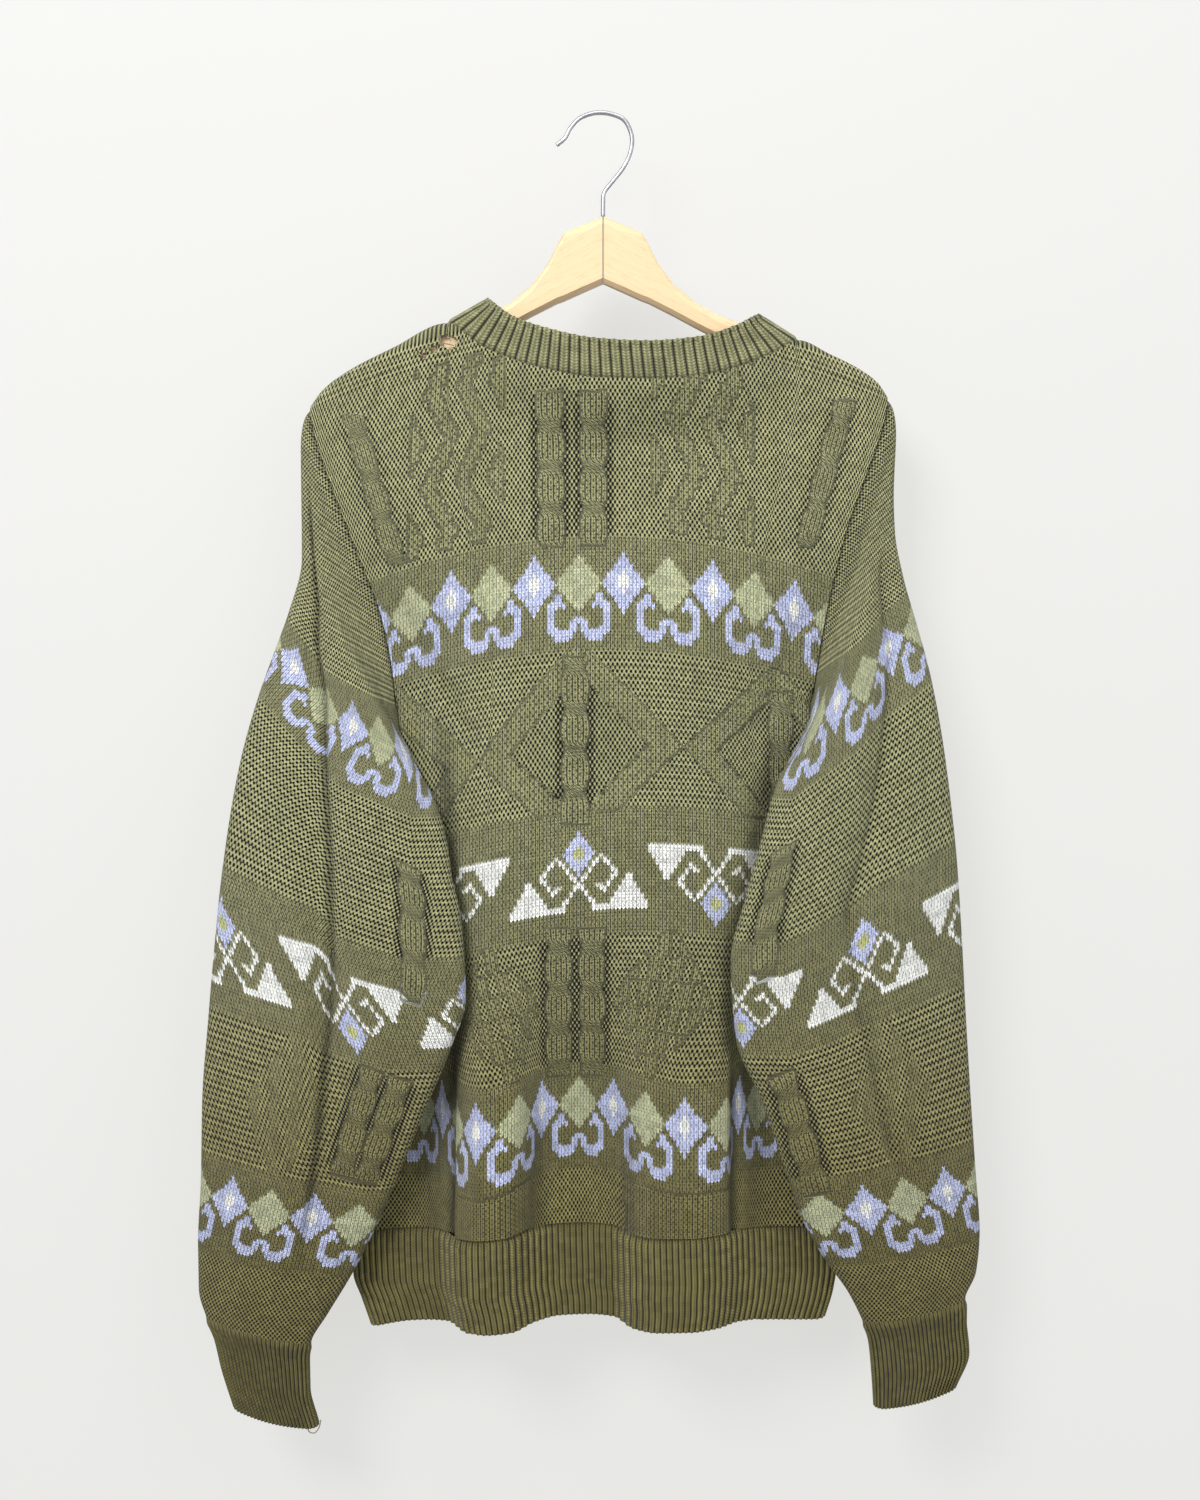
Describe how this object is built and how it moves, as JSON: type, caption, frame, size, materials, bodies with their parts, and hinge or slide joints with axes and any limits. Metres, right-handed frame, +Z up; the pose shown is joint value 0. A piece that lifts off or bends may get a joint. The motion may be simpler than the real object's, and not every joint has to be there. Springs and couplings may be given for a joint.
{
  "type": "sweater and hanger",
  "caption": "Cable knit sweater with colourwork bands hanging by its shoulders on a plain wooden hanger with a wire hook.",
  "frame": {"origin": "where the inside of the hanger's wire hook rests on its support", "axes": "+Z up, +X to the right of someone facing the sweater's back, +Y from the garment's back to its front"},
  "size_m": [0.577, 0.0838, 0.9543],
  "materials": {
    "olive_knit": "matt",
    "pale_wood": "satin",
    "steel_wire": "satin"
  },
  "bodies": {
    "root": {"back": "olive_knit", "front": "olive_knit", "hem_rib_back": "olive_knit", "hem_rib_front": "olive_knit", "sleeve_left": "olive_knit", "sleeve_right": "olive_knit", "cuff_left": "olive_knit", "cuff_right": "olive_knit", "neckband": "olive_knit", "hanger_arm_left": "pale_wood", "hanger_arm_right": "pale_wood", "hanger_hook": "steel_wire"}
  },
  "joints": []
}
